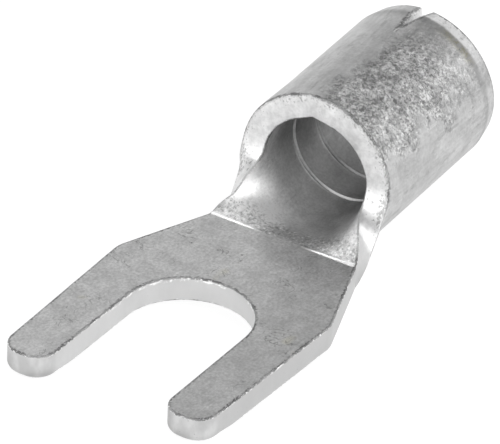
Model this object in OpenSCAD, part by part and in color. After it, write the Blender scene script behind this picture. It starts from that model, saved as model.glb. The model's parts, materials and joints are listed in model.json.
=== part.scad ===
/* [Sheet] */
// Thickness of the sheet that the terminal is stamped and rolled from
sheet_t = 1.3; // [1:0.1:1.6]

/* [Fork tongue] */
// Width of the slot that slides over the stud
slot_w = 6.4; // [5.2:0.1:7.2]
// Reach of the prongs, from the middle of the slot's round end to their tips
prong_reach = 7.25; // [5:0.25:10]
// Span across the two prongs at their tips
tip_span = 11.4; // [10.6:0.1:11.8]
// Span across the shoulders, where the taper to the neck starts
shoulder_span = 12; // [11.5:0.1:13]
// Distance of the shoulders behind the middle of the slot's round end
shoulder_back = 3.2; // [2:0.1:4.5]
// Corner radius of the prong tips
tip_r = 1.1; // [0.3:0.1:1.2]
// Radius of the rounded shoulders
shoulder_r = 1.5; // [0.5:0.1:2.5]

/* [Neck] */
// Distance of the crease behind the middle of the slot's round end
crease_back = 8.2; // [7.5:0.1:10]
// Width of the sheet at the crease
neck_w = 8.2; // [7:0.1:9]
// Length of the neck, from the crease to the foot of the front rim
neck_len = 2.85; // [2:0.05:4]
// Straight length of the neck's edges behind the crease
neck_straight = 1.2; // [0.2:0.1:1.6]
// Width that the sheet gains on each side where its edges curve out into the front rim
flare_w = 2.2; // [0.8:0.1:2.6]
// Depth of the barrel's underside below the tongue's, at the front rim
barrel_drop = 0.63; // [0:0.01:1]

/* [Wire barrel] */
// Bore for the stripped wire
bore_d = 5.6; // [4.8:0.1:6.6]
// Length of the barrel along its axis
barrel_len = 10.05; // [7:0.05:14]
// Upward pitch of the barrel's axis from the tongue, in degrees
barrel_pitch = 2.9; // [0:0.1:5]
// Backward lean of the front rim from upright, in degrees
rim_lean = 1.5; // [0:0.1:4]
// Length of the bevel round the rear rim
bevel_len = 0.95; // [0.2:0.05:1.5]
// Depth of that bevel
bevel_depth = 0.2; // [0.05:0.05:0.5]

/* [Grip rings] */
// Number of grooves pressed round the inside of the barrel
ring_count = 3; // [1:1:4]
// Distance of the first groove behind the front rim
ring_from_rim = 2.6; // [1.5:0.1:4]
// Spacing of the grooves
ring_pitch = 2; // [1:0.1:2.5]
// Width of each groove
ring_w = 0.3; // [0.1:0.05:0.6]
// Depth of each groove
ring_depth = 0.15; // [0.05:0.05:0.3]

/* [Seam] */
// Width of the groove along the brazed seam
seam_w = 0.4; // [0.1:0.05:0.6]
// Depth of that groove
seam_depth = 0.12; // [0.05:0.01:0.3]
// Length of the notch where the seam opens at the rear rim
notch_len = 2; // [0.5:0.1:4]
// Width of that notch at the rear rim
notch_w = 0.6; // [0.3:0.05:1.5]
// Angle on each side of the seam over which the sheet's edge stays straight, in degrees
seam_flat = 18; // [8:1:24]

/* [Hidden] */

// Sections of a full circle
$fn = 96;

// Room that a cutting shape runs past the face it opens through
past = 1;

// Setback and reach of the neck's skin where it runs inside the tongue and the barrel wall
setback = 0.02;
lap = 0.4;

// Steps along the flared edge of the neck, and across its sheet
flare_steps = 10;
straight_steps = 3;
across_steps = 28;

// Radii of the barrel: inside, outside and mid-sheet
bore_r = bore_d / 2;
outer_r = bore_r + sheet_t;
mid_r = bore_r + sheet_t / 2;

// Place of the front rim's foot and of the barrel's axis above it
rim_x = crease_back + neck_len;
axis_z = outer_r - barrel_drop;

// Strip where the neck's edges reach the front rim: half width, height up the leaning rim, and place
flare_half = neck_w / 2 + flare_w;
flare_rise = mid_r * (1 - cos(flare_half / mid_r * 180 / PI));
flare_from = crease_back + neck_straight;
flare_to = rim_x + flare_rise * tan(rim_lean);
flare_len = flare_to - flare_from;

// Tip corners are limited by the prong's own width
prong_w = (tip_span - slot_w) / 2;
tip_corner_r = min(tip_r, prong_w / 2 - setback);

// Share of the roll reached at x, from 0 at the crease to 1 at the front rim
function share(x) = max(0, min(1, (x - crease_back) / neck_len));
// Curvature of the sheet at x: it starts at once at the crease and runs out smoothly at the rim
function curl(x) = let(t = share(x)) (t + t * t - t * t * t) / mid_r;
// Height of the mid-sheet on the centre line, from the tongue down to the barrel's floor
function barrel_floor(x) = axis_z - mid_r + (x - rim_x) * tan(barrel_pitch);
function floor_z(x) = let(t = share(x), e = t * t * (3 - 2 * t)) (1 - e) * sheet_t / 2 + e * barrel_floor(x);
// Half width of the strip at x, with a quarter ellipse out to the rim
function flared(x) = min(1, max(0, (x - flare_from) / flare_len));
function half_strip(x) = neck_w / 2 - setback + flare_w * (1 - sqrt(1 - pow(flared(x), 2)));
// Point of the rolled sheet at x, a width s out from the centre line and a height h off the mid-sheet
function sheet_point(x, s, h) =
    let(k = curl(x), a = k * s * 180 / PI)
    let(y = k == 0 ? s : sin(a) / k, rise = k == 0 ? 0 : (1 - cos(a)) / k)
    [x, y - h * sin(a), floor_z(x) + rise + h * cos(a)];

// Tangent circle at corner p between points q and r: centre and touching points
function unit(v) = v / norm(v);
function corner_angle(p, q, r) = acos(unit(q - p) * unit(r - p)) / 2;
function corner_centre(p, q, r, rad) = p + unit(unit(q - p) + unit(r - p)) * rad / sin(corner_angle(p, q, r));
function corner_touch(p, q, r, rad) = p + unit(q - p) * rad / tan(corner_angle(p, q, r));

// Waste outside the arc that rounds corner p
module corner_waste(p, q, r, rad) {
    c = corner_centre(p, q, r, rad);
    difference() {
        polygon([c, corner_touch(p, q, r, rad), p + (p - c), corner_touch(p, r, q, rad)]);
        translate(c)
            circle(rad);
    }
}

// Flat outline of the fork: prongs, round-ended slot, shoulders and taper to the neck
module tongue_outline() {
    tip = [-prong_reach, tip_span / 2];
    tip_inner = [-prong_reach, slot_w / 2];
    slot_end = [0, slot_w / 2];
    shoulder = [shoulder_back, shoulder_span / 2];
    neck = [crease_back, neck_w / 2];
    flip = [1, -1];
    difference() {
        polygon([
            tip, shoulder, neck,
            [neck.x, -neck.y], [shoulder.x, -shoulder.y], [tip.x, -tip.y]
        ]);
        circle(slot_w / 2);
        translate([-prong_reach - past, -slot_w / 2])
            square([prong_reach + past, slot_w]);
        for (side = [0, 1])
            mirror([0, side]) {
                corner_waste(tip, tip_inner, shoulder, tip_corner_r);
                corner_waste(tip_inner, slot_end, tip, tip_corner_r);
                corner_waste(shoulder, tip, neck, shoulder_r);
            }
    }
}

module tongue() {
    linear_extrude(sheet_t)
        tongue_outline();
}

// Sheet between the crease and the front rim, lofted from flat to rolled
module neck() {
    xs = [
        crease_back - lap,
        for (i = [0 : straight_steps - 1]) crease_back + neck_straight * i / straight_steps,
        for (i = [0 : flare_steps]) flare_from + flare_len * sin(90 * i / flare_steps),
        flare_to + lap
    ];
    last = len(xs) - 1;
    row = across_steps + 1;
    skin_h = sheet_t / 2 - setback;
    points = [
        for (h = [skin_h, -skin_h])
            for (x = xs)
                for (j = [0 : across_steps])
                    sheet_point(x, half_strip(x) * (2 * j / across_steps - 1), h)
    ];
    under = row * len(xs);
    quads = [
        for (i = [0 : last - 1], j = [0 : across_steps - 1])
            let(a = i * row + j, b = a + row) each [
                [a, a + 1, b + 1, b],
                [under + a, under + b, under + b + 1, under + a + 1]
            ],
        for (j = [0 : across_steps - 1])
            let(a = j, b = last * row + j) each [
                [a, under + a, under + a + 1, a + 1],
                [b, b + 1, under + b + 1, under + b]
            ],
        for (i = [0 : last - 1])
            let(a = i * row, b = a + across_steps) each [
                [a, a + row, under + a + row, under + a],
                [b, under + b, under + b + row, b + row]
            ]
    ];
    polyhedron(points, [for (q = quads) each [[q[0], q[1], q[2]], [q[0], q[2], q[3]]]]);
}

// Frame of the barrel: x along its axis from the front rim, z up through the seam
module along_barrel() {
    translate([rim_x, 0, axis_z])
        rotate([0, -barrel_pitch, 0])
            children();
}

module grip_rings() {
    for (i = [0 : ring_count - 1])
        translate([ring_from_rim + i * ring_pitch, 0, 0])
            rotate([0, 90, 0])
                rotate_extrude()
                    polygon([
                        [bore_r - ring_depth, -ring_w],
                        [bore_r + ring_depth, 0],
                        [bore_r - ring_depth, ring_w]
                    ]);
}

// Prism right through the barrel, from a profile across it with y up
module along_tube() {
    translate([-outer_r, 0, 0])
        rotate([90, 0, 90])
            linear_extrude(outer_r + barrel_len + past)
                children();
}

// Marks of the seam: a groove over the braze, a point in the bore and a notch at the rear rim
module seam() {
    straight = (bore_r - setback) * [sin(seam_flat), cos(seam_flat)];
    along_tube()
        polygon([[0, outer_r - seam_depth], [seam_w, outer_r + seam_depth], [-seam_w, outer_r + seam_depth]]);
    along_tube()
        polygon([[0, bore_r / cos(seam_flat)], [-straight.x, straight.y], straight]);
    translate([barrel_len, 0, mid_r - sheet_t])
        linear_extrude(2 * sheet_t)
            polygon([[-notch_len, 0], [notch_len, notch_w], [notch_len, -notch_w]]);
}

// Rolled tube with its bevelled rear rim, grip rings and seam, cut off at the leaning front rim
module barrel() {
    difference() {
        along_barrel()
            difference() {
                rotate([0, 90, 0])
                    rotate_extrude()
                        polygon([
                            [bore_r, -outer_r],
                            [outer_r, -outer_r],
                            [outer_r, barrel_len - bevel_len],
                            [outer_r - bevel_depth, barrel_len],
                            [bore_r, barrel_len]
                        ]);
                grip_rings();
                seam();
            }
        translate([rim_x, 0, -barrel_drop])
            rotate([0, rim_lean, 0])
                translate([-2 * outer_r, -2 * outer_r, -outer_r])
                    cube([2 * outer_r, 4 * outer_r, 4 * outer_r]);
    }
}

module fork_terminal() {
    color("silver") {
        tongue();
        neck();
        barrel();
    }
}

fork_terminal();
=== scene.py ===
# %% [markdown]
# # A bare crimp fork terminal
# The real part is one strip of tin-plated copper. A press stamps a flat blank, pinches its neck and rolls
# its wide end into a wire barrel, whose two long edges meet in a brazed seam. This lesson makes the mesh in
# the same order: stamp the blank, roll it, then give the tin its finish. The imported CAD part is the frame
# that everything has to fit, so it is loaded first, and its box gives where the tips start and how low the
# part reaches.

# %% Load the frame
import json
import math

import bmesh
import bpy
from mathutils import Matrix, Vector, noise


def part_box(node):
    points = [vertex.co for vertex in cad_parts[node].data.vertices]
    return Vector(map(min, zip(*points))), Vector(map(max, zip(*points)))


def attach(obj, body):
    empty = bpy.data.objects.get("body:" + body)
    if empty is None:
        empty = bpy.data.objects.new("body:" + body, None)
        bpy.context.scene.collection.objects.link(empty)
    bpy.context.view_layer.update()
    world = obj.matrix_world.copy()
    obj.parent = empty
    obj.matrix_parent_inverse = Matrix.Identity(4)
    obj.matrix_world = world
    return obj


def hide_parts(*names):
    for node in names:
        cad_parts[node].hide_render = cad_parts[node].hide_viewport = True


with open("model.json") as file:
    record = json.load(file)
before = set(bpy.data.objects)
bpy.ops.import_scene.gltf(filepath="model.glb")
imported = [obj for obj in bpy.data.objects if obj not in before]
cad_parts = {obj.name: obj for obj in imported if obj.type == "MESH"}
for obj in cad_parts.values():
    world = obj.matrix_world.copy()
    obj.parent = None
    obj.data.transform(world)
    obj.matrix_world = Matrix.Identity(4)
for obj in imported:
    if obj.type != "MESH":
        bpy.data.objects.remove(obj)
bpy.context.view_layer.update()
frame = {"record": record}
NODE = "fork_terminal"
MM = 0.001

# %% [markdown]
# ## Sizes
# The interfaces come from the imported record: the stud slot gives the slot and the sheet, the wire barrel
# gives the bore and the axis. The other sizes repeat those of the solid, in millimetres, because the mesh
# replaces the solid and has to keep its form. A place on the flat blank is x along it and s across it.

# %% Sizes of the blank and of the rolled part
mounts = {m["name"]: m for m in frame["record"]["mounts"]}
slot_r = mounts["stud_slot"]["dims"]["r_mm"]
sheet_t = mounts["stud_slot"]["dims"]["length_mm"]
bore_r = mounts["wire_barrel"]["dims"]["r_mm"]
barrel_axis = Vector(mounts["wire_barrel"]["axis"])
rear_x = mounts["wire_barrel"]["pos_m"][0] / MM
box_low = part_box(NODE)[0] / MM

tip_x = box_low.x
tip_half, tip_r = 5.7, 1.1
shoulder_x, shoulder_half, shoulder_cut = 3.2, 6.0, 0.315
crease_x, neck_half, neck_len, neck_straight = 8.2, 4.1, 2.85, 1.2
flare_w = 2.2
rim_x = crease_x + neck_len
rim_lean = math.tan(math.radians(1.5))

mid_r = bore_r + sheet_t / 2
seam_s = math.pi * mid_r
pitch_tan = barrel_axis.z / barrel_axis.x
axis_z = mounts["wire_barrel"]["pos_m"][2] / MM - (rear_x - rim_x) * pitch_tan
print("barrel axis height at the rim:", round(axis_z, 3), "mm, seam at", round(seam_s, 2), "mm")

# %% [markdown]
# ## The stamped blank
# Half of the blank is a polygon with a corner wherever the die has one. Bevelling single vertices rounds
# the slot's end, the prong tips and the shoulders, which keeps every arc true. A bevel is given the way from
# the corner to the start of its arc: at a square corner that is the radius, at the blunt shoulders it is
# much less. A mirror makes the other half.

# %% Outline of the half blank
notch_len, notch_half = 2.0, 0.3
flare_steps = 12
flare_x = crease_x + neck_straight
TOUCH = 1e-4


def flare_point(i):
    """Point on the quarter ellipse by which the neck's edge runs out into the front rim."""
    turn = math.pi / 2 * i / flare_steps
    return flare_x + (rim_x - flare_x) * math.sin(turn), neck_half + flare_w * (1 - math.cos(turn))


corners = [
    ((slot_r, 0), 0),
    ((slot_r, slot_r), slot_r),
    ((tip_x, slot_r), tip_r),
    ((tip_x, tip_half), tip_r),
    ((shoulder_x, shoulder_half), shoulder_cut),
    ((crease_x, neck_half), 0),
    *[(flare_point(i), 0) for i in range(flare_steps + 1)],
    ((rim_x, seam_s), 0),
    ((rear_x - notch_len, seam_s), 0),
    ((rear_x, seam_s - notch_half), 0),
    ((rear_x, 0), 0),
]
bm = bmesh.new()
outline = [bm.verts.new((x, s, 0)) for (x, s), _ in corners]
bm.faces.new(outline)
for vert, (_, round_by) in zip(outline, corners):
    if round_by:
        bmesh.ops.bevel(
            bm, geom=[vert], offset=round_by, offset_type="OFFSET", segments=14,
            profile=0.5, affect="VERTICES", material=-1,
        )
bmesh.ops.remove_doubles(bm, verts=bm.verts[:], dist=TOUCH)
half_blank = bm.verts[:] + bm.edges[:] + bm.faces[:]
bmesh.ops.mirror(bm, geom=half_blank, matrix=Matrix.Identity(4), merge_dist=TOUCH, axis="Y")
middle_line = [e for e in bm.edges if all(abs(v.co.y) < TOUCH for v in e.verts)]
bmesh.ops.dissolve_edges(bm, edges=middle_line, use_verts=True)
print("blank outline:", len(bm.verts), "points,", len(bm.faces), "face")

# %% [markdown]
# ## Thickness and sheared edges
# The blank is extruded to the sheet's thickness. The punch leaves a tight edge with a fine burr on the upper
# face, and draws the lower edge round. So the outline gets a small bevel above and a wider one below, with a
# finish of their own, and the walls get that of a cut face. Only the two long edges that meet in the seam
# stay sharp, because braze closes them.

# %% Extrude the blank, round its edges and give each side its finish
FINISHES = ["tin_plate", "bore_tin", "brazed_tin", "cut_face", "sheared_edge"]
PLATE, BORE, BRAZED, CUT, EDGE = range(len(FINISHES))
SEAM_TOUCH = 1e-3
burr_round, foot_round = 0.08, 0.14
raised = bmesh.ops.extrude_face_region(bm, geom=bm.faces[:])
raised_verts = [g for g in raised["geom"] if isinstance(g, bmesh.types.BMVert)]
bmesh.ops.translate(bm, vec=(0, 0, sheet_t), verts=raised_verts)
bmesh.ops.recalc_face_normals(bm, faces=bm.faces[:])


def on_seam(verts):
    """True where all the vertices lie on the long edges that meet in the seam."""
    return all(abs(abs(v.co.y) - seam_s) < SEAM_TOUCH for v in verts)


def rims(upper):
    """Edges between the walls and the upper or the lower face of the blank."""
    return [
        e for e in bm.edges
        if {f.material_index for f in e.link_faces} == {PLATE, CUT}
        and (e.verts[0].co.z > sheet_t / 2) == upper and not on_seam(e.verts)
    ]


for face in bm.faces:
    face.material_index = PLATE if abs(face.normal.z) > 0.5 else CUT
for upper, radius in ((True, burr_round), (False, foot_round)):
    rounded = bmesh.ops.bevel(
        bm, geom=rims(upper), offset=radius, offset_type="OFFSET", segments=3, profile=0.5,
        affect="EDGES", material=-1, clamp_overlap=True,
    )
    for face in rounded["faces"]:
        face.material_index = EDGE
print("blank with rounded edges:", len(bm.faces), "faces")

# %% [markdown]
# The dark line along the edges isn't even: it frays into the plate beside it. A shader can only fray it
# if it knows how far a place is from the edge. So a narrow band is inset along the outline, and a vertex
# attribute counts from -1 at the band's inner side, over 0 where the rounding starts, by one for each
# width of the burr.

# %% Count the way to the edge
edge_band = 0.11
plates = [f for f in bm.faces if f.material_index == PLATE]
bmesh.ops.inset_region(bm, faces=plates, thickness=edge_band, use_even_offset=True, use_boundary=True)
rim_count = bm.verts.layers.float.new("rim")
for v in bm.verts:
    on_edge = any(f.material_index == EDGE for f in v.link_faces)
    v[rim_count] = min(v.co.z, sheet_t - v.co.z) / burr_round if on_edge else -1
print("vertices beside the edges:", sum(v[rim_count] > -1 for v in bm.verts))

# %% [markdown]
# Tumbling has worn the prong tips, so their lower edges are rounder still. Slices give the tips the vertices
# that they need, and each of these then moves towards the middle of its prong, as far as the round asks at
# its height.

# %% Round the prong tips underneath
tip_round, worn_to, fades_over, tip_slices = 0.34, tip_x + 2.6, 1.5, 4
prong_mid, prong_half = (tip_half + slot_r) / 2, (tip_half - slot_r) / 2


def clamp01(t):
    return max(0.0, min(1.0, t))


def ease(t):
    return t * t * (3 - 2 * t)


def rise(value, start, full):
    """Eases from 0 to 1 while the value goes from start to full."""
    return ease(clamp01((value - start) / (full - start)))


def stands_back(height, radius):
    """How far a round edge of that radius stands back from its wall at a height."""
    return radius - math.sqrt(radius ** 2 - (radius - min(height, radius)) ** 2)


def cut(reached, plane_co, plane_no):
    """Slices the faces whose stretch of x passes a test, with a plane."""
    faces = [f for f in bm.faces if reached([v.co.x for v in f.verts])]
    edges = dict.fromkeys(e for f in faces for e in f.edges)
    verts = dict.fromkeys(v for f in faces for v in f.verts)
    geom = [*faces, *edges, *verts]
    bmesh.ops.bisect_plane(bm, geom=geom, dist=TOUCH / 10, plane_co=plane_co, plane_no=plane_no)


def at_tips(xs):
    return min(xs) < worn_to


for i in range(tip_slices):
    cut(at_tips, (worn_to - fades_over * i / tip_slices, 0, 0), (1, 0, 0))
for i in range(1, tip_slices + 1):
    cut(at_tips, (0, 0, foot_round + (tip_round - foot_round) * i / tip_slices), (0, 0, 1))
for v in bm.verts:
    worn = rise(v.co.x, worn_to, worn_to - fades_over)
    inside = Vector((max(v.co.x, tip_x + prong_half), math.copysign(prong_mid, v.co.y), v.co.z)) - v.co
    inside.normalize()
    v.co += inside * worn * (stands_back(v.co.z, tip_round) - stands_back(v.co.z, foot_round))
print("blank with rounded tips:", len(bm.faces), "faces")

# %% [markdown]
# ## Slices for the roll
# A flat face can't bend, so the neck and the barrel are sliced with bisecting planes: rows along the part
# and columns across it. Rows lie close together over the crease, which bends tightly. The tongue stays flat
# and needs no slices. The new vertices along the seam are then taken out of the count of the edges.

# %% Slice the neck and the barrel
fillet = 0.171
ring_w, ring_depth = 0.3, 0.1
ring_from_rim, ring_pitch, ring_count = 2.6, 2.0, 3
rings = [rim_x + (ring_from_rim + ring_pitch * i) * barrel_axis.x for i in range(ring_count)]
bevel_len, bevel_depth = 0.95, 0.2
bevel_x = rear_x - bevel_len
fillet_steps, neck_steps, barrel_steps, columns = 4, 16, 30, 84


def behind_crease(xs):
    return max(xs) > crease_x - fillet + TOUCH


crease_rows = [crease_x + fillet * i / fillet_steps for i in range(-fillet_steps, fillet_steps + 1)]
neck_rows = [crease_x + neck_len * i / neck_steps for i in range(2, neck_steps + 1)]
barrel_rows = [rim_x + (rear_x - rim_x) * i / barrel_steps for i in range(1, barrel_steps)]
ring_rows = [r + ring_w / 2 * side for r in rings for side in (-1, 0, 1)]
for x in crease_rows + neck_rows + barrel_rows + ring_rows + [bevel_x]:
    cut(behind_crease, (x, 0, 0), (1, 0, 0))
for i in range(1, columns):
    cut(behind_crease, (0, seam_s * (2 * i / columns - 1), 0), (0, 1, 0))
for face in bm.faces:
    centre = face.calc_center_median()
    if face.material_index == PLATE and centre.z > sheet_t / 2 and centre.x > crease_x:
        face.material_index = BORE
    if face.material_index == PLATE and centre.z < sheet_t / 2 and centre.x > rim_x:
        face.material_index = BRAZED
for v in bm.verts:
    if on_seam([v]) and rim_x + edge_band < v.co.x < rear_x - notch_len - edge_band:
        v[rim_count] = -1
print("sliced blank:", len(bm.faces), "faces")

# %% [markdown]
# ## Pressed marks
# Some forms are pressed while the sheet is still flat: three grip rings in what becomes the bore, a bevel
# under the rear end, and the straight edges beside the seam. Those edges don't take the roll, so they meet
# in a point inside the barrel. The tool's edge raises a fine bead along the crease, except in the middle.
# They could be cut into the rolled part instead, but on the flat sheet each is only a change of height.

# %% Rings, rear bevel, straight edges and bead
seam_flat = math.radians(18)
bead_height, bead_reach, bead_from, bead_full = 0.035, 0.12, 0.8, 2.0


def shares(z):
    """Shares of the upper face, which becomes the inside, and of the lower one at a height in the sheet."""
    return clamp01(2 * z / sheet_t - 1), clamp01(1 - 2 * z / sheet_t)


def on_bevel(x):
    """Share of the rear bevel's depth at x."""
    return clamp01((x - bevel_x) / bevel_len)


def pressed(x, s, z):
    """Height that the press takes a point of the flat sheet to."""
    inner, outer = shares(z)
    if inner > 0.99 and any(abs(x - r) < TOUCH for r in rings):
        z -= ring_depth
    z += bevel_depth * outer * on_bevel(x)
    off_seam = (seam_s - abs(s)) / mid_r
    if off_seam < seam_flat:
        z -= inner * bore_r * (1 / math.cos(seam_flat - off_seam) - 1)
    bead = clamp01(1 - abs(x - crease_x) / bead_reach) * rise(abs(s), bead_from, bead_full)
    return z + inner * bead * bead_height


print("depth of the point in the bore's roof:", round(bore_r * (1 / math.cos(seam_flat) - 1), 3), "mm")

# %% [markdown]
# A little braze has run out of the seam. It leaves the outside of the barrel's right flank uneven, with
# shallow hollows that follow a noise, and a drop of it stands out on the seam's front end.

# %% Press the sheet and add the braze
hollow_depth, hollow_size = 0.03, 0.9
hollows_from, hollows_full, hollows_off_seam, hollows_off_rim = 6.5, 8.0, 0.8, 0.6
drop_height, drop_half, drop_len = 0.1, 0.4, 0.5


def braze(x, s):
    """How far brazing moves the outside of the sheet: inwards in the hollows, outwards at the drop."""
    hollows = rise(-s, hollows_from, hollows_full) * rise(-s, seam_s, seam_s - hollows_off_seam)
    hollows *= rise(x, rim_x, rim_x + hollows_off_rim) * (1 - on_bevel(x))
    hollows *= hollow_depth * (1 + noise.noise(Vector((x, s, 0)) / hollow_size))
    drop = rise(abs(s), seam_s - drop_half, seam_s) * rise(x, rim_x + drop_len, rim_x)
    return hollows - drop_height * drop


for v in bm.verts:
    x, s, z = v.co
    v.co.z = pressed(x, s, z) + shares(z)[1] * braze(x, s)
heights = [v.co.z for v in bm.verts]
print("pressed sheet:", round(min(heights), 3), "to", round(max(heights), 3), "mm")

# %% [markdown]
# ## Rolling
# One formula bends the whole blank, as the press does. Behind the crease the curvature grows from nothing to
# that of the barrel, and the floor sinks to the barrel's. No press works quite evenly: the neck sits a touch
# off centre, its left flank rolls over a longer reach, leans forward and bulges a little at the rim, and the
# seam starts a few degrees to one side. The sheet's own coordinates are kept in a UV map first, so that the
# finish can follow the sheet round the roll.

# %% Keep the sheet's coordinates
uv = bm.loops.layers.uv.new("sheet")
for face in bm.faces:
    for loop in face.loops:
        loop[uv].uv = (loop.vert.co.x, loop.vert.co.y)
print("coordinates kept for", len(bm.faces), "faces")

# %% Roll the sheet's middle
left_reach, reach_from, reach_full, reach_fades, reach_ends = 1.3, -0.5, 1.7, 3.4, 5.8
seam_turn = math.radians(8)
tilts_over = 2.0
LEAST_CURL = 1e-6


def roll_share(x, s):
    """Share of the roll reached at a point of the blank, with a small fillet over the crease."""
    longer = rise(s, reach_from, reach_full) * rise(s, reach_ends, reach_fades)
    reach = neck_len + left_reach * longer
    d = x - crease_x
    if abs(d) < fillet:
        return (d + fillet) ** 2 / (4 * fillet * reach)
    return clamp01(d / reach)


def mid_sheet(x, s):
    """Middle of the rolled sheet at a point of the blank, and the way through its thickness there."""
    t, sunk = roll_share(x, s), ease(roll_share(x, 0))
    curl = max(t + t * t - t ** 3, LEAST_CURL) / mid_r
    turn = curl * s
    to_front = 1 - clamp01((x - rim_x) / (rear_x - rim_x))
    turn -= seam_turn * to_front * ((1 - math.cos(turn)) / 2) ** 4
    barrel_floor = axis_z - mid_r + (x - rim_x) * pitch_tan
    floor_z = (1 - sunk) * sheet_t / 2 + sunk * barrel_floor
    tilted = rise(x, rim_x, rim_x + tilts_over)
    lean = (1 - tilted) * t * rim_lean * mid_r * (1 - math.cos(turn))
    tilt = tilted * barrel_axis.z * math.cos(turn)
    height = floor_z + (1 - math.cos(turn)) / curl
    middle = Vector((x + lean + tilt * mid_r, math.sin(turn) / curl, height))
    return middle, Vector((-tilt, -math.sin(turn), math.cos(turn)))


print("front rim's foot:", round(mid_sheet(rim_x, 0)[0].z - sheet_t / 2, 3), "mm")

# %% [markdown]
# The thickness stands square on the rolled middle. On the left flank it also follows the slope along the
# part, which leans the neck's edge forward. The seam's walls are deleted, and its two sides are merged.

# %% Roll the whole sheet and close the seam
off_centre, left_bulge, bulge_fade, left_ends = -0.125, 0.13, 3.0, 2.0
slope_step = 0.01


def rolled(p):
    """Place of a point of the flat blank on the finished part."""
    t = roll_share(p.x, p.y)
    middle, through = mid_sheet(p.x, p.y)
    ahead, behind = (mid_sheet(p.x + step, p.y)[0] for step in (slope_step, -slope_step))
    slope = through.dot(ahead - behind) / (2 * slope_step)
    left = rise(p.y, 0, neck_half) * rise(p.y, seam_s, seam_s - left_ends)
    through.x -= slope * left * rise(t, 0, 1 / 2) * rise(t, 1, 2 / 3)
    if t < 1:
        through.normalize()
    bulge = left_bulge * left * through.y ** 2 * ease(t) * rise(p.x, rim_x + bulge_fade, rim_x)
    shift = off_centre * rise(p.x, shoulder_x, crease_x) * (1 - t)
    return middle + through * (p.z - sheet_t / 2) + Vector((0, bulge + shift, 0))


seam_walls = [f for f in bm.faces if on_seam(f.verts)]
bmesh.ops.delete(bm, geom=seam_walls, context="FACES")
for v in bm.verts:
    v.co = rolled(v.co)
bmesh.ops.remove_doubles(bm, verts=[v for v in bm.verts if v.is_boundary], dist=SEAM_TOUCH)
bmesh.ops.scale(bm, vec=(MM, MM, MM), verts=bm.verts[:])
open_edges = [e for e in bm.edges if len(e.link_faces) != 2]
print("rolled part:", len(bm.faces), "faces,", len(open_edges), "open edges")

# %% [markdown]
# ## The terminal as an object
# The mesh becomes the one piece that rides on the root body and stands in for the solid. Smooth shading
# alone would bow the flat sides at their rounded edges. So sharp corners stay sharp, and a Weighted Normal
# modifier lets the large faces decide how the sheet shades.

# %% Make the terminal object
mesh = bpy.data.meshes.new("terminal")
for face in bm.faces:
    face.smooth = True
bm.to_mesh(mesh)
bm.free()
terminal = bpy.data.objects.new("terminal", mesh)
bpy.context.scene.collection.objects.link(terminal)
mesh.set_sharp_from_angle(angle=math.radians(40))
normals = terminal.modifiers.new("flat sides shade flat", "WEIGHTED_NORMAL")
normals.keep_sharp = True
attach(terminal, "root")
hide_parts(NODE)
print("terminal:", len(mesh.polygons), "faces")

# %% [markdown]
# ## Finishes
# Tin plate is a dull metal with a fine grain, and every step of the making leaves its own mark on it. Each
# finish is a metal whose tone is a product of factors: a mask of noise or place says where a mark is, and
# a level says how much lighter or darker it is there. Painted images could do this too, but noise needs no
# file and stays sharp close up. Two kinds of place feed it: Object coordinates in millimetres for grain that
# has no direction, and the UV map for marks that follow the sheet.

# %% Helpers for sums and levels
def add(tree, kind, inputs, **options):
    """Adds a node with its options, fills its inputs with values or links, and gives its first output."""
    node = tree.nodes.new(kind)
    for name, value in options.items():
        setattr(node, name, value)
    for name, value in inputs.items():
        if isinstance(value, bpy.types.NodeSocket):
            tree.links.new(value, node.inputs[name])
        else:
            node.inputs[name].default_value = value
    return node.outputs[0]


def calc(tree, operation, a, b=0.0):
    """One sum on two values."""
    return add(tree, "ShaderNodeMath", {0: a, 1: b}, operation=operation)


def times(tree, *factors):
    """Product of several values."""
    product = factors[0]
    for factor in factors[1:]:
        product = calc(tree, "MULTIPLY", product, factor)
    return product


def gap(tree, a, b):
    """Distance between two values."""
    return calc(tree, "ABSOLUTE", calc(tree, "SUBTRACT", a, b))


def ramp(tree, value, low, high, at_low=0.0, at_high=1.0):
    """Eases from one level to another while the value goes from low to high."""
    levels = {"Value": value, "From Min": low, "From Max": high, "To Min": at_low, "To Max": at_high}
    return add(tree, "ShaderNodeMapRange", levels, interpolation_type="SMOOTHSTEP")


def mixed(tree, mask, bare, full):
    """The bare level where a mask is 0, the full one where it is 1."""
    return ramp(tree, mask, 0, 1, bare, full)


# %% Helpers for places and noise
def grain(tree, place, scale, detail=4.0, rough=0.6, bend=0.0):
    """Noise with about that number of grains per unit of length."""
    look = {"Vector": place, "Scale": scale, "Detail": detail, "Roughness": rough, "Distortion": bend}
    return add(tree, "ShaderNodeTexNoise", look)


def stretched(tree, place, scale, turn=0.0):
    """Places for marks that are drawn out along one direction."""
    drawn_out = {"Vector": place, "Rotation": (0, 0, math.radians(turn)), "Scale": scale}
    return add(tree, "ShaderNodeMapping", drawn_out)


def split_xy(tree, place):
    """The first two coordinates of a place."""
    node = tree.nodes.new("ShaderNodeSeparateXYZ")
    tree.links.new(place, node.inputs["Vector"])
    return node.outputs["X"], node.outputs["Y"]


def way_to_edge(tree):
    """The count of the way to the edge, which the vertices carry."""
    count = tree.nodes.new("ShaderNodeAttribute")
    count.attribute_name = "rim"
    return count.outputs["Fac"]


# %% Start and end of a finish
GREEN_LOSS, BLUE_LOSS = 0.04, 0.25


def start_finish(side):
    """A metal for one side of the sheet, with places on the part in millimetres and on the flat sheet."""
    metal = bpy.data.materials.new(FINISHES[side])
    metal.use_nodes = True
    tree = metal.node_tree
    solid = tree.nodes.new("ShaderNodeTexCoord").outputs["Object"]
    place = add(tree, "ShaderNodeMapping", {"Vector": solid, "Scale": (1 / MM, 1 / MM, 1 / MM)})
    sheet = add(tree, "ShaderNodeUVMap", {}, uv_map="sheet")
    return metal, tree, place, sheet


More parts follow.
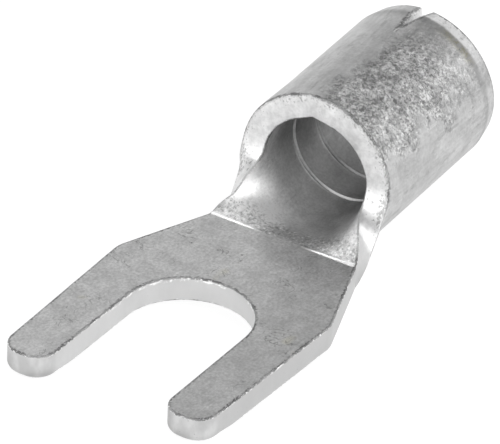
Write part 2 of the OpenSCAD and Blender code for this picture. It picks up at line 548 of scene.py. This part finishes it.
def end_finish(metal, tone, roughness, relief, height, warm=0.0, metallic=1.0):
    """Feeds a metal's shader, with less green and blue where it is warm, and gives the metal to the mesh."""
    tree = metal.node_tree
    shader = tree.nodes["Principled BSDF"]
    green = times(tree, tone, calc(tree, "SUBTRACT", 1.0, times(tree, warm, GREEN_LOSS)))
    blue = times(tree, tone, calc(tree, "SUBTRACT", 1.0, times(tree, warm, BLUE_LOSS)))
    color = add(tree, "ShaderNodeCombineColor", {"Red": tone, "Green": green, "Blue": blue})
    bump = add(tree, "ShaderNodeBump", {"Height": relief, "Strength": 1.0, "Distance": height * MM})
    tree.links.new(color, shader.inputs["Base Color"])
    tree.links.new(roughness, shader.inputs["Roughness"])
    tree.links.new(bump, shader.inputs["Normal"])
    shader.inputs["Metallic"].default_value = metallic
    mesh.materials.append(metal)
    print(metal.name, "has", len(tree.nodes), "nodes")


# %% [markdown]
# ### Plain tin plate
# The tongue is satin tin: a fine grain, soft clouds, a few scuffs from handling, dark specks, fine pits and
# a couple of faintly warm spots. Where it was handled it also has fine dark cracks, like those of a glaze.
# The same layers lie under the other plated finishes, and so does the dark frayed line along the edges, so
# both are functions. The bead along the crease is rubbed bright, and its brightness is also a painted
# highlight. On the tongue, painted shade makes the tone darker towards the right.

# %% Layers of all the plated faces
TIN = 0.63
# Tone of the crease's bead: rubbed tin, and also a painted highlight.
RUBBED_TIN_AND_HIGHLIGHT = 0.97


def dark_edge_line(tree, place):
    """The dark frayed line along the edges as a factor for the tone, and the way to the edge with the fraying
    in it.
    """
    way = way_to_edge(tree)
    fray = ramp(tree, grain(tree, place, 5.5, 5.0, 0.8), 0.3, 0.7, -0.9, 0.9)
    near = calc(tree, "ADD", way, fray)
    in_band = ramp(tree, way, -1.0, -0.5)
    # The tone is darker in a frayed line along the edges, and less dark between the crease and the rim.
    line = times(tree, in_band, ramp(tree, near, -0.7, 0.0), ramp(tree, near, 1.1, 0.6))
    along, _ = split_xy(tree, place)
    past_crease = ramp(tree, along, crease_x + 0.2, crease_x + 0.8)
    before_rim = ramp(tree, along, rim_x - 0.05, rim_x - 0.4)
    uneven = ramp(tree, grain(tree, place, 0.7, 2.0), 0.4, 0.6, 0.62, 0.3)
    level = mixed(tree, times(tree, past_crease, before_rim), uneven, 0.85)
    return mixed(tree, line, 1.0, level), near


def tin_layers(tree, place, sheet, tone, fleck, wear):
    """Tone and relief that all the plated faces share, with a share of flecks and of wear."""
    fine = grain(tree, place, 7.0, 3.0, 0.65)
    clouds = ramp(tree, grain(tree, place, 0.8, 7.0, 0.72), 0.35, 0.65, 0.88, 1.1)
    tone = times(tree, tone, ramp(tree, fine, 0.3, 0.7, 1 - fleck, 1 + fleck), clouds)
    for turn, level in ((25, 1.12), (-50, 0.92)):
        scuff = grain(tree, stretched(tree, sheet, (0.5, 8, 1), turn), 1.0, 2.0)
        tone = times(tree, tone, mixed(tree, ramp(tree, scuff, 0.6, 0.74), 1.0, level))
    off_crack = gap(tree, grain(tree, place, 1.0, 2.0, 0.5, 1.5), 0.5)
    handled = ramp(tree, grain(tree, place, 0.6, 3.0), 0.52, 0.62)
    cracks = times(tree, ramp(tree, off_crack, 0.025, 0.0), handled)
    specks = ramp(tree, grain(tree, place, 1.8, 3.0, 0.55), 0.71, 0.77)
    worn = ramp(tree, grain(tree, place, 0.45, 3.0), 0.42, 0.62, 0.3, 1.0)
    pits = times(tree, ramp(tree, grain(tree, place, 6.0, 4.0, 0.75), 0.6, 0.7), worn)
    for marks, loss in ((cracks, 0.25), (specks, 0.4), (pits, 0.2)):
        tone = times(tree, tone, mixed(tree, marks, 1.0, 1 - loss * wear))
    tone = times(tree, tone, dark_edge_line(tree, place)[0])
    along, across = split_xy(tree, sheet)
    # Painted highlight: the bead along the crease is made nearly white, over its rubbed tin.
    on_crease = ramp(tree, gap(tree, along, crease_x), 0.13, 0.06)
    bead = times(tree, on_crease, ramp(tree, gap(tree, across, 0.0), 1.3, 2.2))
    return mixed(tree, bead, tone, RUBBED_TIN_AND_HIGHLIGHT), fine


# %% Plain tin plate
def make_tin_plate():
    metal, tree, place, sheet = start_finish(PLATE)
    tone, fine = tin_layers(tree, place, sheet, TIN, fleck=0.14, wear=1.6)
    _, across = split_xy(tree, place)
    # Painted shade: the tongue is made darker towards its right.
    painted_shade_to_right = ramp(tree, across, -5.0, 1.0, 0.88, 1.02)
    roughness = ramp(tree, fine, 0.3, 0.7, 0.34, 0.46)
    warm = ramp(tree, grain(tree, place, 0.55, 1.0), 0.72, 0.8, 0.0, 0.4)
    end_finish(metal, times(tree, tone, painted_shade_to_right), roughness, fine, height=0.008, warm=warm)


make_tin_plate()

# %% [markdown]
# ### Tin inside the neck and the bore
# Inside, the tone carries painted shade: it is darker deeper in the bore, in the grip rings and over the
# crease. It carries painted light too: lighter at the mouth, on the bore's flanks and up the neck's flanks,
# with a painted highlight on the left flank, which is also rougher than the right one. Behind the crease,
# where the press has rubbed it, it is full of light and dark grit.

# %% Neck and bore
def make_bore_tin():
    metal, tree, place, sheet = start_finish(BORE)
    tone, fine = tin_layers(tree, place, sheet, TIN, fleck=0.1, wear=0.2)
    along, across = split_xy(tree, sheet)
    # Painted light up the neck's flanks, most on the left where the highlight lies, and painted shade over
    # the crease.
    painted_highlight_left_flank = ramp(tree, across, 0.0, 1.8, 1.05, 1.55)
    painted_light_right_flank = ramp(tree, across, -1.5, -3.0, 1.0, 1.3)
    past_crease = ramp(tree, along, crease_x + 0.4, crease_x + 1.6, 0.8, 1.0)
    on_neck = times(tree, painted_highlight_left_flank, painted_light_right_flank, past_crease)
    # Painted light and shade in the bore: lighter on its flanks than on its floor, lighter at the mouth,
    # darker further in.
    off_floor = ramp(tree, gap(tree, across, 0.5), 1.0, 4.5, 0.93, 1.05)
    inwards = ramp(tree, along, rim_x + 0.3, rim_x + 4.0, 1.28, 0.63)
    in_bore = times(tree, off_floor, inwards)
    # Painted shade: the grip rings are darker.
    for ring in rings:
        in_ring = ramp(tree, gap(tree, along, ring), ring_w / 2 + 0.02, ring_w / 4, 1.0, 0.78)
        in_bore = times(tree, in_bore, in_ring)
    # The factor named plated carries this painted light and shade from the neck into the bore.
    plated = ramp(tree, along, rim_x - 0.6, rim_x + 0.4, on_neck, in_bore)
    grit = grain(tree, place, 5.5, 4.0, 0.7)
    rubbed_and_painted_highlight = ramp(tree, along, crease_x + 2.1, crease_x + 0.8)
    light_grit = mixed(tree, times(tree, ramp(tree, grit, 0.52, 0.64), rubbed_and_painted_highlight), 1.0, 1.5)
    dark_grit = mixed(tree, times(tree, ramp(tree, grit, 0.48, 0.38), rubbed_and_painted_highlight), 1.0, 0.62)
    tone = times(tree, tone, plated, light_grit, dark_grit)
    dull_left = ramp(tree, across, 0.5, 2.0, 0.46, 0.54)
    roughness = ramp(tree, along, rim_x, rim_x + 2.0, dull_left, 0.4)
    relief = calc(tree, "ADD", fine, times(tree, grit, rubbed_and_painted_highlight, 2.0))
    end_finish(metal, tone, roughness, relief, height=0.004)


make_bore_tin()

# %% [markdown]
# ### Brazed barrel
# Outside, the barrel is drawn smooth, with faint streaks and dashes along it, and painted shade darkens a
# strip low on its right. Beside the seam, braze has wetted one flank and left it rough and mottled, with a
# wandering border. An olive flux stain lies before the rear bevel, with a line of painted shade just before
# the bevel, and a painted highlight on the bevel beside the seam. Places across the barrel are counted
# from its underside up the right flank.

# %% Marks of drawing and brazing
def drawn(tree, place, across):
    """Factor for the drawn barrel: streaks and dashes along it, and painted shade in a darker strip low on
    its right.
    """
    streaks = grain(tree, stretched(tree, place, (0.2, 4, 4)), 1.0, 3.0)
    dashes = grain(tree, stretched(tree, place, (0.7, 2.4, 2.4)), 1.0, 5.0, 0.65)
    streaked = ramp(tree, streaks, 0.35, 0.65, 0.95, 1.05)
    dashed = mixed(tree, ramp(tree, dashes, 0.54, 0.68), 1.0, 0.8)
    # The last factor is painted shade: a darker strip low on the right flank.
    return times(tree, streaked, dashed, ramp(tree, gap(tree, across, 1.5), 1.0, 3.5, 0.87, 1.0))


def wetted(tree, sheet, across):
    """Mask of the braze on the right flank, with a border that wanders."""
    wander = ramp(tree, grain(tree, sheet, 0.7, 6.0, 0.65), 0.25, 0.75, -1.1, 1.1)
    low_border = ramp(tree, calc(tree, "ADD", across, wander), 6.4, 7.6)
    seam_border = ramp(tree, calc(tree, "ADD", across, times(tree, wander, 0.5)), 10.9, 9.9)
    return times(tree, low_border, seam_border)


def flux_stain(tree, along, across, mottle):
    """Mask of the flux stain before the rear bevel."""
    in_band = times(
        tree, ramp(tree, along, rear_x - 1.5, rear_x - 1.1), ramp(tree, along, rear_x - 0.8, rear_x - 1.0)
    )
    on_flank = times(tree, ramp(tree, across, 7.4, 8.2), ramp(tree, across, 10.0, 9.0))
    return times(tree, in_band, on_flank, ramp(tree, mottle, 0.4, 0.6))


# %% Brazed barrel
def make_brazed_tin():
    metal, tree, place, sheet = start_finish(BRAZED)
    tone, fine = tin_layers(tree, place, sheet, TIN * 0.83, fleck=0.07, wear=0.6)
    along, leftward = split_xy(tree, sheet)
    across = times(tree, leftward, -1.0)
    mottle = grain(tree, place, 5.5, 8.0, 0.78, 0.6)
    blotch = grain(tree, place, 1.3, 6.0, 0.72)
    brazed = wetted(tree, sheet, across)
    fringe = times(tree, ramp(tree, brazed, 0, 0.5), ramp(tree, brazed, 1, 0.5))
    to_rear = ramp(tree, along, bevel_x - 0.5, bevel_x - 3.5, 0.45, 1.0)
    rough_braze = times(tree, brazed, to_rear, ramp(tree, along, bevel_x, bevel_x - 0.3))
    to_seam = ramp(tree, across, 8.8, 10.6, 1.0, 0.85)
    lumps = times(
        tree, ramp(tree, mottle, 0.38, 0.62, 0.43, 1.52), ramp(tree, blotch, 0.4, 0.58, 0.7, 1.1), to_seam
    )
    # Painted shade: a darker line just before the rear bevel.
    painted_bevel_shade = ramp(tree, gap(tree, along, bevel_x - 0.1), 0.4, 0.0, 1.0, 0.82)
    stain = flux_stain(tree, along, across, mottle)
    # Painted highlight: the bevel is made lighter beside the seam.
    beside_seam = times(tree, ramp(tree, across, 6.5, 9.2), ramp(tree, blotch, 0.25, 0.5))
    rubbed_and_painted_highlight = times(tree, ramp(tree, along, bevel_x, bevel_x + 0.25), beside_seam)
    tone = times(
        tree, tone, drawn(tree, place, across), painted_bevel_shade,
        mixed(tree, rough_braze, 1.0, lumps), mixed(tree, fringe, 1.0, 0.85),
        mixed(tree, stain, 1.0, 0.8), mixed(tree, rubbed_and_painted_highlight, 1.0, 1.9),
    )
    relief = calc(tree, "ADD", times(tree, fine, 0.08), times(tree, mottle, rough_braze))
    end_finish(metal, tone, mixed(tree, brazed, 0.4, 0.36), relief, height=0.08, warm=stain)


make_brazed_tin()

# %% [markdown]
# ### Cut faces
# The die leaves pale, even walls. They scatter light more than the plate does, so they are a little less
# metallic. The front rim is painted paler than the tongue's walls as painted light, and dirt gathers at its
# outer edge and where the flare turns into it. The tips are smudged, and painted shade darkens their left
# and lower sides and the right-hand walls. In the slot's round end, painted glints lie under the burr.

# %% Marks on the cut faces
# Tone of the painted glints.
PAINTED_GLINT = 0.98


def gathered_dirt(tree, place, sheet, on_rim, at_tip):
    """Mask of the dirt, which is denser on the rim's outer edge, at the flare and on the tips."""
    outer_edge = ramp(tree, way_to_edge(tree), 1.35, 1.75, 0.02, 0.14)
    up_flank = gap(tree, split_xy(tree, sheet)[1], 0.0)
    at_flare = times(tree, ramp(tree, up_flank, 4.3, 4.8, 0.0, 0.11), ramp(tree, up_flank, 6.0, 5.2))
    denser = times(tree, on_rim, calc(tree, "ADD", outer_edge, at_flare))
    denser = calc(tree, "ADD", denser, times(tree, at_tip, 0.03))
    return ramp(tree, calc(tree, "ADD", grain(tree, place, 7.0, 4.0, 0.7), denser), 0.68, 0.74)


def painted_slot_glints(tree, place, along, across):
    """Mask of the painted glints under the burr in the slot's round end."""
    under_burr = ramp(tree, way_to_edge(tree), 1.13, 1.03)
    broken = ramp(tree, grain(tree, place, 2.2, 6.0, 0.75), 0.5, 0.58)
    round_end = times(
        tree, ramp(tree, along, -3.0, 0.0), ramp(tree, along, shoulder_x + 1.0, shoulder_x + 0.5)
    )
    in_slot = ramp(tree, gap(tree, across, 0.0), slot_r + 0.3, slot_r + 0.1)
    return times(tree, under_burr, broken, round_end, in_slot)


def smudges_and_painted_shade(tree, place, across, at_tip):
    """Factor for the walls: smudges, and painted shade on the right-hand walls and on the tips' left and
    lower sides.
    """
    smudge = grain(tree, stretched(tree, place, (0.8, 0.8, 0.5)), 1.0, 4.0, 0.5)
    smudge = ramp(tree, smudge, 0.36, 0.64, 0.8, 1.1)
    smudged = mixed(tree, mixed(tree, at_tip, 0.2, 1.0), 1.0, smudge)
    # Painted shade: the right-hand walls are darker.
    painted_shade_right_walls = ramp(tree, across, -4.6, -4.0, 0.85, 1.0)
    # Painted shade: the tips are darker below and on their left.
    foot = ramp(tree, way_to_edge(tree), 1.4, 1.75, 1.0, 0.82)
    on_left_prong = ramp(tree, across, prong_mid, tip_half)
    on_right_prong = times(tree, ramp(tree, across, -prong_mid, -slot_r), ramp(tree, across, 0.0, -1.0))
    left_of_tip = times(tree, at_tip, calc(tree, "ADD", on_left_prong, on_right_prong))
    return times(
        tree, smudged, mixed(tree, at_tip, painted_shade_right_walls, foot), mixed(tree, left_of_tip, 1.0, 0.75)
    )


# %% Cut faces
def make_cut_face():
    metal, tree, place, sheet = start_finish(CUT)
    along, across = split_xy(tree, place)
    on_rim = ramp(tree, along, crease_x, rim_x)
    at_tip = ramp(tree, along, tip_x + 1.6, tip_x + 0.3)
    marks = grain(tree, place, 0.9, 7.0, 0.72)
    freckles = ramp(tree, grain(tree, place, 3.2, 4.0, 0.7), 0.35, 0.65, 0.92, 1.06)
    uneven = times(tree, ramp(tree, marks, 0.35, 0.65, 0.88, 1.08), freckles)
    # Painted light: the front rim is made paler than the tongue's walls.
    tone = times(
        tree, mixed(tree, on_rim, TIN, 0.76), mixed(tree, calc(tree, "ADD", on_rim, 0.2), 1.0, uneven),
        mixed(tree, gathered_dirt(tree, place, sheet, on_rim, at_tip), 1.0, 0.55),
        smudges_and_painted_shade(tree, place, across, at_tip),
    )
    # Painted highlight: glints in the slot's round end are made nearly white.
    tone = mixed(tree, painted_slot_glints(tree, place, along, across), tone, PAINTED_GLINT)
    roughness = ramp(tree, marks, 0.3, 0.7, 0.36, 0.46)
    end_finish(metal, tone, roughness, marks, height=0.006, metallic=0.9)


make_cut_face()

# %% [markdown]
# ### Sheared edges
# The rounded edges carry a dark frayed line, and broken painted glints between it and the wall, which are
# fainter round the barrel.

# %% Sheared edges
def make_sheared_edge():
    metal, tree, place, _ = start_finish(EDGE)
    line, near = dark_edge_line(tree, place)
    beside_wall = times(tree, ramp(tree, near, 0.5, 0.9), ramp(tree, near, 1.5, 1.1))
    broken = ramp(tree, grain(tree, place, 0.9, 5.0, 0.7), 0.46, 0.56)
    to_barrel = ramp(tree, split_xy(tree, place)[0], crease_x, rim_x, 1.0, 0.5)
    # Painted highlight: broken glints beside the wall, fainter round the barrel.
    glints = times(tree, beside_wall, broken, to_barrel, 0.4)
    tone = calc(tree, "ADD", times(tree, line, TIN), glints)
    end_finish(metal, tone, mixed(tree, near, 0.46, 0.36), near, height=0.01)


make_sheared_edge()

# %% [markdown]
# ## Camera
# The photograph's view was worked out from the part's own edges: azimuth, elevation, a small roll, and a
# long lens. The image is 500 by 444 pixels, and the stud's centre shows at a known pixel. The camera is moved
# sideways until it does, so the lens needs no shift.

# %% Camera
IMAGE_W, IMAGE_H = 500, 444
azimuth, elevation, roll = (math.radians(a) for a in (-58.543, 32.373, 2.419))
distance = 364.4 * MM
focal_px = 7782.8
origin_px = (185.8, 338.2)
level = math.cos(elevation)
back = Vector((math.sin(azimuth) * level, -math.cos(azimuth) * level, math.sin(elevation)))
right = Vector((math.cos(azimuth), math.sin(azimuth), 0))
up = back.cross(right)
turned_right = math.cos(roll) * right + math.sin(roll) * up
turned_up = math.cos(roll) * up - math.sin(roll) * right
aside = (origin_px[0] - IMAGE_W / 2) * distance / focal_px
above = (IMAGE_H / 2 - origin_px[1]) * distance / focal_px
scene = bpy.context.scene
camera = bpy.data.objects.new("camera", bpy.data.cameras.new("camera"))
scene.collection.objects.link(camera)
camera.data.sensor_width = 36
camera.data.lens = focal_px * camera.data.sensor_width / IMAGE_W
camera.data.clip_start, camera.data.clip_end = 0.01, 10
basis = Matrix((turned_right, turned_up, back)).transposed()
eye = back * distance - turned_right * aside - turned_up * above
camera.matrix_world = Matrix.Translation(eye) @ basis.to_4x4()
scene.camera = camera
print("lens", round(camera.data.lens, 1), "mm")

# %% [markdown]
# ## Floor
# The part rests on its prong tips and on the foot of its barrel, so the white paper under it is tilted by
# two degrees against the tongue. The camera and the metal see the paper as white with a faint shadow, while
# the light that it scatters is that of plain paper.

# %% Floor
scene.view_settings.view_transform = "Standard"
rest_tilt = math.atan2(-box_low.z, rim_x - tip_x)
barrel_foot = Vector((rim_x, 0, box_low.z)) * MM
lie = Matrix.Translation(barrel_foot) @ Matrix.Rotation(rest_tilt, 4, "Y")
floor_bm = bmesh.new()
bmesh.ops.create_grid(floor_bm, x_segments=1, y_segments=1, size=1.0, matrix=lie)
floor_mesh = bpy.data.meshes.new("floor")
floor_bm.to_mesh(floor_mesh)
floor_bm.free()
floor = bpy.data.objects.new("floor", floor_mesh)
scene.collection.objects.link(floor)
print("floor tilted by", round(math.degrees(rest_tilt), 2), "degrees")

# %% White paper
paper = bpy.data.materials.new("white_paper")
paper.use_nodes = True
tree = paper.node_tree
path = tree.nodes.new("ShaderNodeLightPath")
seen = calc(tree, "MAXIMUM", path.outputs["Is Camera Ray"], path.outputs["Is Glossy Ray"])
seen = calc(tree, "MAXIMUM", seen, path.outputs["Is Transmission Ray"])
plain = add(tree, "ShaderNodeBsdfDiffuse", {"Color": (0.8, 0.8, 0.8, 1)})
faint = add(tree, "ShaderNodeBsdfDiffuse", {"Color": (0.25, 0.25, 0.25, 1)})
glow = add(tree, "ShaderNodeEmission", {"Strength": 0.85})
white = add(tree, "ShaderNodeAddShader", {0: faint, 1: glow})
look = add(tree, "ShaderNodeMixShader", {0: seen, 1: plain, 2: white})
tree.links.new(look, tree.nodes["Material Output"].inputs["Surface"])
floor_mesh.materials.append(paper)
print("floor finish:", paper.name)

# %% [markdown]
# ## Light
# Bare metal looks like what it reflects, so the studio is laid out by direction: pale near the horizon and
# greyer above, with a darker patch above the front.

# %% World
patch_toward = Vector((-0.6, 0.35, 0.72)).normalized()
world = bpy.data.worlds.new("studio")
scene.world = world
world.use_nodes = True
tree = world.node_tree
toward = tree.nodes.new("ShaderNodeTexCoord").outputs["Generated"]
facing = tree.nodes.new("ShaderNodeVectorMath")
facing.operation = "DOT_PRODUCT"
tree.links.new(toward, facing.inputs[0])
facing.inputs[1].default_value = patch_toward
upward = tree.nodes.new("ShaderNodeSeparateXYZ")
tree.links.new(toward, upward.inputs["Vector"])
sweep = ramp(tree, upward.outputs["Z"], 0.05, 0.75, 0.95, 0.45)
dark_patch = ramp(tree, facing.outputs["Value"], 0.5, 0.9, 1.0, 0.5)
tree.links.new(times(tree, sweep, dark_patch), tree.nodes["Background"].inputs["Strength"])
tree.nodes["Background"].inputs["Color"].default_value = (1, 1, 1, 1)
print("world:", world.name)

# %% [markdown]
# Four lamps add what the sweep can't: one overhead that draws the crease, a soft box in front for the cut
# faces, and soft boxes left and right that light the flanks of the neck.

# %% Soft boxes
part_middle = Vector((0.007, 0, 0.002))
lamp_reach = 0.3


def softbox(name, direction, width, height, radiance):
    """A lamp of that size, in metres, seen from the part in a direction, at a given brightness."""
    lamp = bpy.data.lights.new(name, "AREA")
    lamp.shape = "RECTANGLE"
    lamp.size, lamp.size_y = width, height
    lamp.energy = radiance * math.pi * width * height
    lamp_object = bpy.data.objects.new(name, lamp)
    scene.collection.objects.link(lamp_object)
    away = Vector(direction).normalized()
    lamp_object.location = part_middle + away * lamp_reach
    lamp_object.rotation_mode = "QUATERNION"
    lamp_object.rotation_quaternion = away.to_track_quat("Z", "Y")
    print(name, "lamp:", round(lamp.energy, 3), "W")


softbox("overhead", (0.25, 0.44, 0.86), 0.07, 0.07, 4.3)
softbox("front", (-0.85, 0.3, 0.35), 0.25, 0.25, 2.1)
softbox("left", (-0.1, 0.75, 0.66), 0.2, 0.2, 0.8)
softbox("right", (0.05, -0.84, 0.54), 0.2, 0.32, 2.7)
